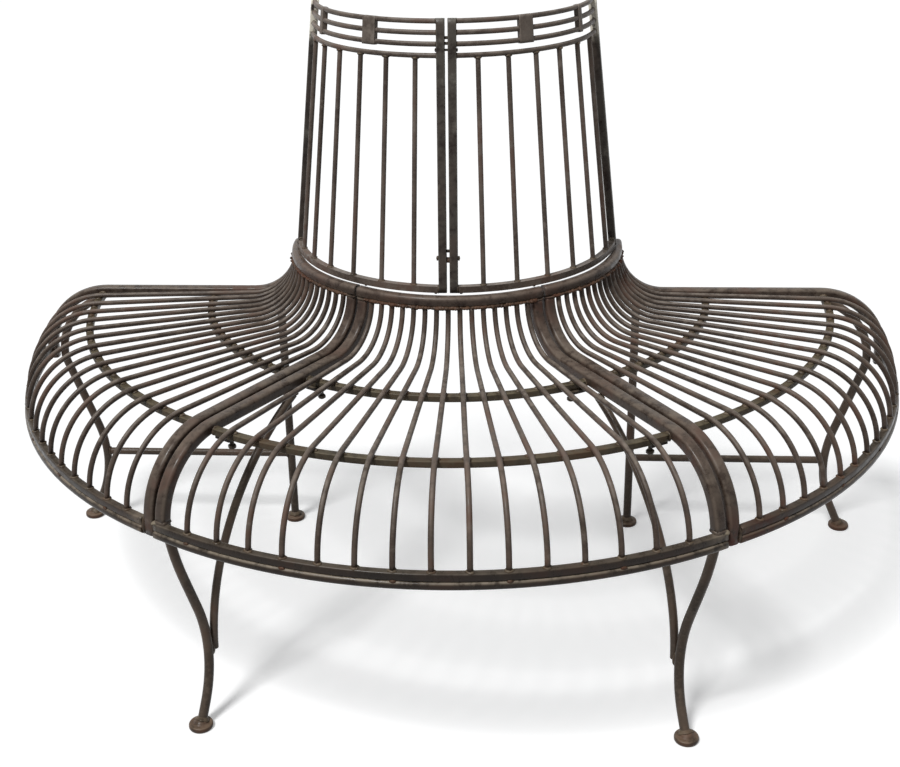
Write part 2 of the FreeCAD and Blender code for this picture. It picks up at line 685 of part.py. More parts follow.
def lean_radius(height):
    """The back's radius at a height, falling evenly from its bottom to its top rail."""
    run = "(%s - %s)" % (height, BACK_RAIL_MIDDLE)
    return "(%s - sizes.back_fall * %s / %s)" % (BACK_BOTTOM_RADIUS, run, BACK_RISE)


def lean_line(body, bottom, top):
    """A straight path in the back's slope between two heights."""
    path = upright_sketch(body, "slope")
    ends = [(lean_radius(height), height) for height in (bottom, top)]
    rod = line(path, *[(number(x), number(z)) for x, z in ends])
    for point, (x, z) in enumerate(ends, start=1):
        locate(path, rod, point, x, z)
    return path, (number(ends[0][0]), number(ends[0][1]))


def rail_height(index):
    """Height of a top rail's centre, the first being the highest."""
    return "(%s - %d * sizes.top_rail_step)" % (TOP_RAIL, index)


def stile(label, azimuth, side):
    body = new_body(label)
    path, foot = lean_line(body, BACK_BOTTOM, "(%s + sizes.stile_rise)" % TOP_RAIL)
    follow(body, path, foot, square_bar)
    place(body, AXIS, azimuth, side)
    return node(body, label)


def round_arc(label, start, end, height, diameter):
    """A round rod bent about the tree's axis at a height of the back's slope."""
    body = new_body(label)
    section = upright_sketch(body, "section")
    circle(section, lean_radius(height), height, diameter)
    turned(body, section, "%s - (%s)" % (end, start))
    place(body, AXIS, "(%s)" % start)
    return node(body, label)


def back_bars(label, start, end):
    """The upright bars between two stiles, at equal angles."""
    body = new_body(label)
    last = int(number("sizes.top_rail_count")) - 1
    tilt = "sizes.bar_diameter / 2 * sizes.back_fall / %s" % BACK_RISE
    bottom = "(%s + sizes.bottom_rail_size + %s + %s)" % (BACK_BOTTOM, GAP, tilt)
    top = "(%s - sizes.top_rail_diameter / 2 - %s)" % (rail_height(last), GAP)
    path, foot = lean_line(body, bottom, top)
    bar = follow(body, path, foot, round_rod("sizes.bar_diameter"))
    pitch = "((%s - %s) / (sizes.bar_count + 1))" % (end, start)
    fan(body, bar, "sizes.bar_count", "%s * (sizes.bar_count - 1)" % pitch)
    place(body, AXIS, "(%s + %s)" % (start, pitch))
    return node(body, label)


def collar(azimuth):
    """A sleeve over the upper top rails: a leaning block with a bore for each rail."""
    body = new_body("collar")
    section = upright_sketch(body, "section")
    wrapped = range(int(number("sizes.top_rail_count")) - 1)
    bore = "sizes.top_rail_diameter + 3 * %s" % GAP
    cover = "(sizes.collar_depth - sizes.top_rail_diameter) / 2"
    low = "(%s - sizes.top_rail_diameter / 2 - %s)" % (rail_height(wrapped[-1]), cover)
    high = "(%s + sizes.top_rail_diameter / 2 + %s)" % (TOP_RAIL, cover)
    half = "sizes.collar_depth / 2"
    corners = [
        ("%s - %s" % (lean_radius(low), half), low), ("%s + %s" % (lean_radius(low), half), low),
        ("%s + %s" % (lean_radius(high), half), high), ("%s - %s" % (lean_radius(high), half), high)]
    points = [(number(x), number(z)) for x, z in corners]
    sides = [line(section, points[k], points[(k + 1) % 4]) for k in range(4)]
    for k in range(4):
        tie(section, "Coincident", sides[k], 2, sides[(k + 1) % 4], 1)
        locate(section, sides[k], 1, *corners[k])
    for index in wrapped:
        circle(section, lean_radius(rail_height(index)), rail_height(index), bore)
    block = body.newObject("PartDesign::Pad", "block")
    block.Profile = section
    block.Midplane = True
    block.setExpression("Length", "sizes.collar_width")
    place(body, AXIS, azimuth)
    return body


def group(label, members):
    """Like pieces kept as one node of separate solids."""
    bundle = doc.addObject("Part::Compound", label)
    bundle.Links = members
    return node(bundle, label)


def drilled(label, blank, holes):
    """A piece with clearance holes for its bolts."""
    tools = doc.addObject("Part::Compound", label + "_holes")
    tools.Links = holes
    cut = doc.addObject("Part::Cut", label)
    cut.Base = blank
    cut.Tool = tools
    NODES.remove(blank)
    blank.Label = label + "_blank"
    return node(cut, label)


def cross_rod(name, diameter, length, height):
    """A cylinder along X, centred on the gap between the two inner stiles."""
    rod = doc.addObject("Part::Cylinder", name)
    rod.setExpression("Radius", "(%s) / 2" % diameter)
    rod.setExpression("Height", length)
    rod.Placement.Rotation = FreeCAD.Rotation(FreeCAD.Vector(0, 1, 0), 90)
    rod.setExpression(".Placement.Base.x", "-1 * (%s) / 2" % length)
    rod.setExpression(".Placement.Base.y", "%s - %s" % (TREE_Y, lean_radius(height)))
    rod.setExpression(".Placement.Base.z", height)
    return rod


STILE_BOLTS = [
    "(%s - sizes.upper_bolt_drop)" % TOP_RAIL,
    "(%s + sizes.lower_bolt_rise)" % BACK_BOTTOM,
]
inner_stile_angle = angle_at("2 * %s + sizes.stile_gap / 2 + %s" % (STILE_HALF, GAP), "%s")
outer_stile_angle = angle_at("%s + %s" % (STILE_HALF, GAP), "%s")
collars = []
for name, sign in (("left", -1), ("right", 1)):
    blank = stile("%s_inner_stile" % name, "0 deg", "%d * %s" % (sign, INNER_STILE_SIDE))
    hole = "sizes.stile_bolt_diameter + 2 * %s" % GAP
    holes = [cross_rod("hole", hole, "4 * sizes.stile_width", height) for height in STILE_BOLTS]
    drilled("%s_inner_stile" % name, blank, holes)
    stile("%s_outer_stile" % name, "(%d * %s)" % (sign, BACK_END), "0")

    def span(radius):
        """Start and end azimuths of a rail that butts on both stiles of this panel."""
        near = inner_stile_angle % radius
        far = "(%s - %s)" % (BACK_END, outer_stile_angle % radius)
        if sign > 0:
            return "(%s)" % near, far
        return "(-1 * %s)" % far, "(-1 * %s)" % near

    rail_radius = "(%s - sizes.bottom_rail_size / 2)" % BACK_BOTTOM_RADIUS
    flat_arc(
        "%s_back_bottom_rail" % name, AXIS, *span(rail_radius), BACK_BOTTOM_RADIUS,
        BACK_BOTTOM, "sizes.bottom_rail_size", "sizes.bottom_rail_size")
    for index in range(int(number("sizes.top_rail_count"))):
        height = rail_height(index)
        radius = "(%s - sizes.top_rail_diameter / 2)" % lean_radius(height)
        round_arc("%s_top_rail_%d" % (name, index + 1), *span(radius), height, "sizes.top_rail_diameter")
    near, far = "0 deg", "(%d * %s)" % (sign, BACK_END)
    back_bars("%s_back_bars" % name, *((near, far) if sign > 0 else (far, near)))
    for azimuth in ("sizes.collar_inner_azimuth", "sizes.collar_outer_azimuth"):
        collars.append(collar("(%d * %s * 1 deg)" % (sign, azimuth)))
group("rail_collars", collars)


# Fasteners: bolts with two nuts through the inner stiles, pins between the back and the
# seat, and a plate with its bolt and nut under each end of the middle section's supports.
def pierced(prism, bore):
    """A nut or a plate with its bolt's clearance hole."""
    cut = doc.addObject("Part::Cut", "pierced")
    cut.Base = prism
    cut.Tool = bore
    return cut


def hexagon(width, height):
    prism = doc.addObject("Part::Prism", "hexagon")
    prism.Polygon = 6
    prism.setExpression("Circumradius", "%s / sqrt(3)" % width)
    prism.setExpression("Height", height)
    return prism


def pin(diameter, height):
    rod = doc.addObject("Part::Cylinder", "pin")
    rod.setExpression("Radius", "(%s) / 2" % diameter)
    rod.setExpression("Height", height)
    return rod


bolts, nuts, plates = [], [], []
STILE_BORE = "sizes.stile_bolt_diameter + 2 * %s" % GAP
for height in STILE_BOLTS:
    face = "(sizes.stile_width + sizes.stile_gap / 2 + %s)" % GAP
    length = "(2 * (%s + sizes.stile_nut_height + sizes.bolt_tail))" % face
    bolts.append(cross_rod("bolt", "sizes.stile_bolt_diameter", length, height))
    for sign in (-1, 1):
        nut = hexagon("sizes.stile_nut_width", "sizes.stile_nut_height")
        across = FreeCAD.Rotation(FreeCAD.Vector(0, 1, 0), 90)
        nut.Placement.Rotation = across * FreeCAD.Rotation(FreeCAD.Vector(0, 0, 1), 30)
        shift = "0" if sign > 0 else "sizes.stile_nut_height"
        nut.setExpression(".Placement.Base.x", "%d * %s - %s" % (sign, face, shift))
        nut.setExpression(".Placement.Base.y", "%s - %s" % (TREE_Y, lean_radius(height)))
        nut.setExpression(".Placement.Base.z", height)
        nuts.append(pierced(nut, cross_rod("bore", STILE_BORE, length, height)))

PLATE_BOTTOM = "(%s - %s - sizes.plate_thickness)" % (SUPPORT_BOTTOM, GAP)
PLATE_BORE = "sizes.plate_bolt_diameter + 2 * %s" % GAP
NUT_BOTTOM = "(%s - sizes.plate_nut_drop - sizes.plate_nut_height)" % PLATE_BOTTOM
for sign in (-1, 1):
    azimuth = "(%d * %s)" % (sign, SEAM)
    for name, radius in SUPPORT_RADII.items():
        if name == "outer":
            edge = "sizes.support_depth / 2 - sizes.plate_inset - sizes.plate_width / 2"
            radius = "(%s + %s)" % (radius, edge)
        bolt_side = "%d * (sizes.plate_side + sizes.plate_bolt_side)" % -sign
        plate = doc.addObject("Part::Box", "plate")
        plate.setExpression("Length", "sizes.plate_width")
        plate.setExpression("Width", "sizes.plate_length")
        plate.setExpression("Height", "sizes.plate_thickness")
        near = "%d * sizes.plate_side - sizes.plate_length / 2" % -sign
        place(plate, CENTRE_FAN, azimuth, near, PLATE_BOTTOM, "%s - sizes.plate_width / 2" % radius)
        nut = hexagon("sizes.plate_nut_width", "sizes.plate_nut_height")
        place(nut, CENTRE_FAN, azimuth, bolt_side, NUT_BOTTOM, radius)
        length = "(%s + sizes.plate_thickness - %s + sizes.bolt_tail)" % (PLATE_BOTTOM, NUT_BOTTOM)
        bolt = pin("sizes.plate_bolt_diameter", length)
        bore = pin(PLATE_BORE, length)
        for rod in (bolt, bore):
            place(rod, CENTRE_FAN, azimuth, bolt_side, "%s - sizes.bolt_tail" % NUT_BOTTOM, radius)
        plates.append(pierced(plate, bore))
        nuts.append(pierced(nut, bore))
        bolts.append(bolt)

# the back stands off the inner rails on short pins
PIN_AZIMUTHS = ("front_pin_azimuth", "seam_pin_azimuth", "end_pin_azimuth")
INNER_RAIL_TOP = "(%s + sizes.inner_rail_height)" % INNER_RAIL_BOTTOM
for sign in (-1, 1):
    for angle in PIN_AZIMUTHS:
        foot = pin("sizes.pin_diameter", "sizes.back_lift - 2 * %s" % GAP)
        azimuth = "(%d * sizes.%s * 1 deg)" % (sign, angle)
        place(foot, AXIS, azimuth, "0", "%s + %s" % (INNER_RAIL_TOP, GAP), BACK_BOTTOM_RADIUS)
        bolts.append(foot)

group("support_plates", plates)
group("bolts_and_pins", bolts)
group("nuts", nuts)

doc.recompute()
for obj in doc.Objects:
    if "Invalid" in obj.State or "Error" in obj.State:
        raise RuntimeError("%s: %s" % (obj.Label, obj.State))
for obj in NODES:
    if obj.Shape.isNull() or not obj.Shape.isValid():
        raise RuntimeError("%s has no valid shape" % obj.Label)

os.makedirs("parts", exist_ok=True)
for obj in NODES:
    obj.Shape.exportStep("parts/%s.step" % obj.Label)
print(len(NODES), "nodes")
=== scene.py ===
from math import asin, atan2, cos, hypot, pi, radians, sin, tau

import bmesh
import bpy
import numpy as np
from mathutils import Matrix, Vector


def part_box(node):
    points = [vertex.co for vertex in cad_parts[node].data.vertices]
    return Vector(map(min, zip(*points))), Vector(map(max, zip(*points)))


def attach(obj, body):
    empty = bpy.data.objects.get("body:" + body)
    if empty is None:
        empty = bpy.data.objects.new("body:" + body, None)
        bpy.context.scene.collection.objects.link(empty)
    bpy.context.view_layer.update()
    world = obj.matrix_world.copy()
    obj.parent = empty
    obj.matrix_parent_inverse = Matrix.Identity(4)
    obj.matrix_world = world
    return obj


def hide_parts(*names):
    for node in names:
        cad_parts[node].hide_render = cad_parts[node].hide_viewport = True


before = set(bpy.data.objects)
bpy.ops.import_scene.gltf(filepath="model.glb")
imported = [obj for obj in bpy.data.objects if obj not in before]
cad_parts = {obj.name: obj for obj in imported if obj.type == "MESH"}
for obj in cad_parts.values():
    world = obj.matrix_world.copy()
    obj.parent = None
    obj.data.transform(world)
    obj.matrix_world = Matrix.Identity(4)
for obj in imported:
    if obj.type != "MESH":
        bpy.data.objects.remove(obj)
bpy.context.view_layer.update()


# The camera stands a little right of the bench's middle and looks down on it from 1.26 m.
# Its place, turn and lens were solved from the photograph, on the same frame as the CAD.
camera_place = (0.11263, -1.79880, 1.26391)
camera_yaw, camera_pitch, camera_roll = -0.076414, -0.407595, -0.022767
lens_pixels, middle_x, middle_y = 1355.29, 427.84, 350.0
picture_width, picture_height = 900, 767
sensor_width = 36

ahead = np.array([
    sin(camera_yaw) * cos(camera_pitch), cos(camera_yaw) * cos(camera_pitch), sin(camera_pitch)])
level = np.array([cos(camera_yaw), -sin(camera_yaw), 0.0])
above = np.cross(level, ahead)
camera_right = cos(camera_roll) * level + sin(camera_roll) * above
camera_up = cos(camera_roll) * above - sin(camera_roll) * level

camera = bpy.data.objects.new("camera", bpy.data.cameras.new("camera"))
bpy.context.collection.objects.link(camera)
turn = Matrix((camera_right, camera_up, -ahead)).transposed()
camera.matrix_world = Matrix.Translation(camera_place) @ turn.to_4x4()
camera.data.sensor_width = sensor_width
camera.data.lens = lens_pixels / picture_width * sensor_width
camera.data.shift_x = (picture_width / 2 - middle_x) / picture_width
camera.data.shift_y = (middle_y - picture_height / 2) / picture_width
camera.data.clip_end = 200
bpy.context.scene.camera = camera


# Seat rods: 8 mm round steel, fifteen to a section, bent to one curve from the inner rail
# over the flat seat and down the front roll, set out as a fan and painted antique brown.
seat_top = 0.4475
rod_radius = 0.004
rods_in_section = 15
seam_angle, end_angle = radians(31.9), radians(90)
fan_centres = {
    "centre": (np.array([0.0, 0.344119]), -seam_angle, seam_angle),
    "left": (np.array([-0.018992, 0.357131]), -end_angle, -seam_angle),
    "right": (np.array([0.018992, 0.357131]), seam_angle, end_angle),
}
hollow_centre, hollow_bend = (0.3285, 0.5195), 0.072
roll_start, roll_bend = 0.588, 0.118
inner_rail_underside, front_rail_top, front_rail_underside = 0.5145, 0.3375, 0.3135
support_radii = {"inner": 0.3965, "outer": 0.5935}
fit = 0.0003
head_welds_in_radian, head_weld_inset = 56, 0.03
chance = np.random.default_rng(7)
upward = np.array([0.0, 0.0, 1.0])


def tone(red, green, blue):
    """A paint's tone from its 0 to 255 values: each goes through the sRGB curve, in which
    a value v is ((v + 0.055) / 1.055) to the power 2.4."""
    return tuple(((v / 255 + 0.055) / 1.055) ** 2.4 for v in (red, green, blue)) + (1.0,)


def old_paint(name, dark, light, bare_and_lit, rust, gloss=0.4, amount=1.0):
    """Weathered paint. Wide clouds of noise mix its dark and light tones. The pale third tone
    shows on up-facing skin, partly as a dusting and partly as painted light that makes tops paler
    than sides. It also shows where flecks and the wear attribute rub it through, and on the front
    rail's ledge that attribute carries a painted highlight. Rust shows in some of the clouds and
    where the rust attribute asks for it."""
    material = bpy.data.materials.new(name)
    material.use_nodes = True
    nodes, links = material.node_tree.nodes, material.node_tree.links
    shader = nodes["Principled BSDF"]
    place = nodes.new("ShaderNodeTexCoord")

    def cloud(scale, detail, rough, shift):
        centred = nodes.new("ShaderNodeMapping")
        centred.inputs["Location"].default_value = shift
        links.new(place.outputs["Object"], centred.inputs["Vector"])
        noise = nodes.new("ShaderNodeTexNoise")
        noise.inputs["Scale"].default_value = scale
        noise.inputs["Detail"].default_value = detail
        noise.inputs["Roughness"].default_value = rough
        links.new(centred.outputs["Vector"], noise.inputs["Vector"])
        return noise.outputs["Fac"]

    def spread(value, low, high, out_low=0.0, out_high=1.0):
        ramp = nodes.new("ShaderNodeMapRange")
        ramp.interpolation_type = "SMOOTHSTEP"
        links.new(value, ramp.inputs["Value"])
        limits = {"From Min": low, "From Max": high, "To Min": out_low, "To Max": out_high}
        for socket, number in limits.items():
            ramp.inputs[socket].default_value = number
        return ramp.outputs["Result"]

    def work(operation, first, second):
        node = nodes.new("ShaderNodeMath")
        node.operation = operation
        node.use_clamp = operation != "MULTIPLY"
        for socket, value in zip(node.inputs, (first, second)):
            if isinstance(value, float):
                socket.default_value = value
            else:
                links.new(value, socket)
        return node.outputs["Value"]

    def mix(factor, first, second):
        blend = nodes.new("ShaderNodeMix")
        blend.data_type = "RGBA"
        links.new(factor, blend.inputs[0])
        for socket, value in zip((blend.inputs[6], blend.inputs[7]), (first, second)):
            if isinstance(value, tuple):
                socket.default_value = value
            else:
                links.new(value, socket)
        return blend.outputs[2]

    def painted(attribute):
        reader = nodes.new("ShaderNodeAttribute")
        reader.attribute_name = attribute
        return reader.outputs["Fac"]

    broad = cloud(11, 3, 0.55, (0.31, 0.17, 0.05))
    spots = cloud(64, 5, 0.62, (1.1, 0.4, 0.7))
    specks = cloud(190, 4, 0.62, (0.2, 2.3, 1.4))
    flecks = cloud(31, 4, 0.6, (3.7, 1.9, 2.2))
    grain = cloud(900, 2, 0.5, (0.6, 0.9, 0.1))

    normal = nodes.new("ShaderNodeSeparateXYZ")
    links.new(place.outputs["Normal"], normal.inputs["Vector"])
    # Up-facing skin turns towards the pale tone, partly as a dusting and partly as painted light
    # that makes tops brighter than sides.
    facing_up = spread(normal.outputs["Z"], 0.2, 1.0)
    dust_and_top_light = work("MULTIPLY", facing_up, spread(spots, 0.34, 0.66, 0.15, 0.75 * amount))

    coat = mix(spread(broad, 0.36, 0.66), dark, light)
    coat = mix(work("MULTIPLY", spread(specks, 0.44, 0.7), 0.5), coat, light)
    coat = mix(dust_and_top_light, coat, bare_and_lit)
    # Rubbed through: the wear attribute, which on the front rail's ledge carries a painted
    # highlight, and random flecks.
    rubbed = work("MULTIPLY", painted("wear_and_highlight"), spread(spots, 0.28, 0.6))
    rubbed = work("ADD", rubbed, work("MULTIPLY", spread(flecks, 0.56, 0.74), 0.4 * amount))
    coat = mix(rubbed, coat, bare_and_lit)
    rusty = spread(broad, 0.46, 0.66, 0.0, 0.55 * amount)
    rusty = work("MULTIPLY", rusty, spread(spots, 0.36, 0.6))
    rusty = work("ADD", rusty, work("MULTIPLY", painted("rust"), spread(spots, 0.3, 0.56)))
    coat = mix(rusty, coat, rust)
    links.new(coat, shader.inputs["Base Color"])

    dull = spread(spots, 0.3, 0.7, gloss - 0.08, gloss + 0.12)
    dull = work("ADD", dull, work("MULTIPLY", rusty, 0.25))
    links.new(dull, shader.inputs["Roughness"])
    shader.inputs["Specular IOR Level"].default_value = 0.2

    height = work("ADD", work("MULTIPLY", specks, 0.6), work("MULTIPLY", grain, 0.3))
    skin = nodes.new("ShaderNodeBump")
    skin.inputs["Strength"].default_value = 0.35
    skin.inputs["Distance"].default_value = 0.0006
    links.new(height, skin.inputs["Height"])
    links.new(skin.outputs["Normal"], shader.inputs["Normal"])
    return material


def out_from(centre, azimuth):
    """The unit vectors at an azimuth, outward (sin a, -cos a, 0) and sideways (cos a, sin a, 0),
    with the centre they start from."""
    outward = np.array([sin(azimuth), -cos(azimuth), 0.0])
    sideways = np.array([cos(azimuth), sin(azimuth), 0.0])
    return np.append(centre, 0.0), outward, sideways


def round_outline(radius, count=14):
    """A circle: radius times (cos t, sin t) at even steps of t."""
    turn = np.arange(count) * tau / count
    return radius * np.stack([np.cos(turn), np.sin(turn)], axis=1)


def square_outline(width, height, corner, steps=4):
    """A rectangle with rounded corners, a quarter turn of radius corner about each corner's
    centre. The second result is its edge, 0.4 + 0.6 sin(2 t): 1 in each corner's middle."""
    turn = np.linspace(0, pi / 2, steps + 1)
    quarter = corner * np.stack([np.cos(turn), np.sin(turn)], axis=1)
    spin = np.array([[[1, 0], [0, 1]], [[0, -1], [1, 0]], [[-1, 0], [0, -1]], [[0, 1], [-1, 0]]])
    signs = np.array([[1, 1], [-1, 1], [-1, -1], [1, -1]])
    middles = signs * (np.array([width, height]) / 2 - corner)
    arcs = np.einsum("tj,kij->kti", quarter, spin) + middles[:, None, :]
    edge = np.tile(np.sin(2 * turn) * 0.6 + 0.4, 4)
    return arcs.reshape(-1, 2), edge


def carry(path, side, rise, outline, swell=None):
    """Each outline point (a, b) goes to path + a side + b rise at every station of the path,
    times that station's swell: a grid of stations by outline points."""
    if swell is None:
        swell = np.ones(len(path))
    a = outline[None, :, 0, None] * swell[:, None, None]
    b = outline[None, :, 1, None] * swell[:, None, None]
    return path[:, None, :] + a * side[:, None, :] + b * rise[:, None, :]


def steel(name, grids, material, wear_and_highlight=None, rust=None, nodes=()):
    """One mesh of closed bars from equal grids: quads between neighbouring stations, and a
    flat cap over each end. Rides on the root and may stand for CAD nodes."""
    points = np.stack(grids)
    bars, stations, round_count = points.shape[:3]
    s, t = np.meshgrid(np.arange(stations - 1), np.arange(round_count), indexing="ij")
    after = (t + 1) % round_count
    here, beyond = s * round_count, (s + 1) * round_count
    quads = np.stack([here + t, here + after, beyond + after, beyond + t], axis=-1).reshape(-1, 4)
    first = np.arange(bars)[:, None, None] * stations * round_count
    quads = (quads[None] + first).reshape(-1, 4)
    start_caps = np.arange(round_count)[::-1][None] + first[:, :, 0]
    end_caps = (stations - 1) * round_count + np.arange(round_count)[None] + first[:, :, 0]
    mesh = bpy.data.meshes.new(name)
    faces = quads.tolist() + start_caps.tolist() + end_caps.tolist()
    mesh.from_pydata(points.reshape(-1, 3), [], faces)
    smooth = np.zeros(len(mesh.polygons), dtype=bool)
    smooth[:len(quads)] = True
    mesh.polygons.foreach_set("use_smooth", smooth)
    for title, value in (("wear_and_highlight", wear_and_highlight), ("rust", rust)):
        if value is not None:
            layer = mesh.attributes.new(title, "FLOAT", "POINT")
            amounts = np.broadcast_to(value, points.shape[:3])
            layer.data.foreach_set("value", amounts.ravel().astype(np.float32))
    return finish_piece(name, mesh, material, nodes)


def finish_piece(name, mesh, material, nodes=()):
    """Turn the faces outward, give the mesh its material and fix it to the bench."""
    work_mesh = bmesh.new()
    work_mesh.from_mesh(mesh)
    bmesh.ops.recalc_face_normals(work_mesh, faces=work_mesh.faces)
    work_mesh.to_mesh(mesh)
    work_mesh.free()
    mesh.materials.append(material)
    piece = bpy.data.objects.new(name, mesh)
    bpy.context.collection.objects.link(piece)
    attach(piece, "root")
    if nodes:
        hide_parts(*nodes)
    return piece


def seat_curve(half, foot):
    """The seat's side line, half a bar under its top: an arc about the hollow's centre, a flat,
    and an arc about the roll's, to a foot or to a straight drop. Also its outward normals."""
    bend, roll = hollow_bend + half, roll_bend - half
    ceiling = inner_rail_underside - fit
    head = ceiling - half * (hollow_centre[1] - ceiling) / bend
    lift = asin((hollow_centre[1] - head) / bend)
    roll_height = seat_top - roll_bend
    cut = asin(max(0.0, foot - roll_height) / roll)
    hollow_turn = np.linspace(pi + lift, 1.5 * pi, 18)
    roll_turn = np.linspace(pi / 2, cut, 22)
    hollow_way = np.stack([np.cos(hollow_turn), np.sin(hollow_turn)], 1)
    roll_way = np.stack([np.cos(roll_turn), np.sin(roll_turn)], 1)
    run = np.linspace(hollow_centre[0], roll_start, 16)[1:-1]
    flat = np.stack([run, np.full_like(run, seat_top - half)], 1)
    line = np.concatenate([
        hollow_centre + bend * hollow_way, flat, (roll_start, roll_height) + roll * roll_way])
    normal = np.concatenate([-hollow_way, np.tile([0.0, 1.0], (len(run), 1)), roll_way])
    if foot < roll_height:
        drop = np.array([[roll_start + roll, roll_height - 0.008], [roll_start + roll, foot]])
        line = np.concatenate([line, drop])
        normal = np.concatenate([normal, [[1.0, 0.0], [1.0, 0.0]]])
    return line, normal


def weld_beads(name, spots, material, wear_and_highlight=0.35):
    """Each bead is a ball pulled along three axes: its centre plus cos(h) c plus sin(h)
    (cos(t) a + sin(t) b), with a skin that swells and dips in slow waves of h and t."""
    h, t = np.meshgrid(np.linspace(0.1, pi - 0.1, 9), np.arange(12) * tau / 12, indexing="ij")
    beads = []
    for centre, a, b, c in spots:
        shift = chance.uniform(0, tau, 3)
        lump = 1 + 0.08 * np.sin(3 * t + shift[0]) + 0.06 * np.sin(2 * h + 2 * t + shift[1])
        lump = lump + 0.05 * np.sin(5 * t - 2 * h + shift[2])
        ring = np.sin(h) * lump
        shares = (ring * np.cos(t), ring * np.sin(t), np.cos(h) * lump)
        reach = sum(share[..., None] * axis for share, axis in zip(shares, (a, b, c)))
        beads.append(centre + reach)
    worn = wear_and_highlight * chance.uniform(0.2, 1.8, (len(beads), 1, 1))
    return steel(name, beads, material, wear_and_highlight=worn, rust=0.3 * worn)


def bead(root, axes, place_of, size):
    """A bead's centre and half axes: distances along outward, sideways and up from a root."""
    centre = root + sum(share * axis for share, axis in zip(place_of, axes))
    return (centre,) + tuple(half * axis for half, axis in zip(size, axes))


seat_paint = old_paint(
    "seat_paint", tone(57, 46, 39), tone(92, 80, 71), tone(146, 135, 124), tone(86, 54, 41))
weld_paint = old_paint(
    "weld_paint", tone(44, 34, 27), tone(72, 60, 48), tone(116, 105, 88), tone(76, 44, 30), 0.36)
head_weld_paint = old_paint(
    "head_weld_paint", tone(38, 26, 20), tone(62, 44, 33), tone(92, 74, 58),
    tone(78, 40, 27), 0.42)
rod_line, rod_normal = seat_curve(rod_radius, front_rail_top + fit)
rod_stations = len(rod_line)
weld_station = 20
for section, (centre, start, end) in fan_centres.items():
    rods, beads, heads = [], [], []
    steps = np.arange(1, rods_in_section + 1) / (rods_in_section + 1)
    for azimuth in start + (end - start) * steps:
        root, outward, sideways = out_from(centre, azimuth)
        axes = (outward, sideways, upward)
        path = root + rod_line[:, :1] * outward + rod_line[:, 1:] * upward
        rise = rod_normal[:, :1] * outward + rod_normal[:, 1:] * upward
        share = np.linspace(0, 1, rod_stations)
        stray = 0.0006 * np.sin(pi * share)
        stray = stray * np.sin(chance.uniform(5, 11) * share + chance.uniform(0, 6))
        path = path + stray[:, None] * sideways
        side = np.tile(sideways, (rod_stations, 1))
        rods.append(carry(path, side, rise, round_outline(rod_radius)))
        foot_weld = (rod_line[-1, 0], 0, front_rail_top)
        beads.append(bead(root, axes, foot_weld, (0.0063, 0.0062, 0.0026)))
        for radius in support_radii.values():
            support_weld = (radius, stray[weld_station], seat_top - 0.0088)
            beads.append(bead(root, axes, support_weld, (0.0054, 0.0074, 0.0027)))
    head_welds = int((end - start) * head_welds_in_radian)
    for azimuth in np.linspace(start + head_weld_inset, end - head_weld_inset, head_welds):
        root, outward, sideways = out_from(centre, azimuth + chance.normal(0, 0.002))
        size = np.array([0.0062, 0.0052, 0.0032]) * chance.uniform(0.7, 1.3, 3)
        head_weld = (rod_line[0, 0], 0, inner_rail_underside)
        heads.append(bead(root, (outward, sideways, upward), head_weld, size))
    steel(section + "_seat_rods", rods, seat_paint, nodes=[section + "_slats"])
    weld_beads(section + "_rod_welds", beads, weld_paint)
    weld_beads(section + "_head_welds", heads, head_weld_paint, 0.8)


# Square frames: 17.5 mm tube bent to the same curve as the rods, one at each side of every
# section. The paint has rubbed off their corners, and the seams' feet carry old welds.
frame_half, frame_corner, skirt_corner = 0.00875, 0.0048, 0.0045
end_proud, seam_proud, foot_proud = 0.01, 0.12, 0.1
frame_paint = old_paint(
    "frame_paint", tone(40, 29, 23), tone(68, 54, 46), tone(124, 112, 100), tone(76, 38, 28), 0.32)
worn_paint = old_paint(
    "worn_paint", tone(80, 70, 56), tone(114, 106, 90), tone(146, 138, 120),
    tone(84, 54, 38), 0.42)
lips, skirts = [], []


def weld_skirt(root, axes, radius, height, way, proud):
    """The weld round a square tube's end: its outline drawn out by a share of its half width at
    the joint and fading to nothing over 4 mm, with slow waves in how far it stands out."""
    outward, sideways, up = axes
    outline, _ = square_outline(2 * frame_half, 2 * frame_half, skirt_corner)
    rise = way * np.array([-0.0006, 0.0008, 0.0022, 0.0042])
    path = root + radius * outward + (height + rise)[:, None] * up
    swell = 0.96 + (proud + 0.04) * np.array([1.0, 0.92, 0.5, 0.0])
    grid = carry(path, np.tile(sideways, (4, 1)), np.tile(outward, (4, 1)), outline, swell)
    turn = np.arange(len(outline)) * tau / len(outline)
    wave = 1 + 0.035 * np.sin(4 * turn + chance.uniform(0, tau))
    wave = wave + 0.025 * np.sin(7 * turn + chance.uniform(0, tau))
    return path[:, None, :] + (grid - path[:, None, :]) * wave[None, :, None]


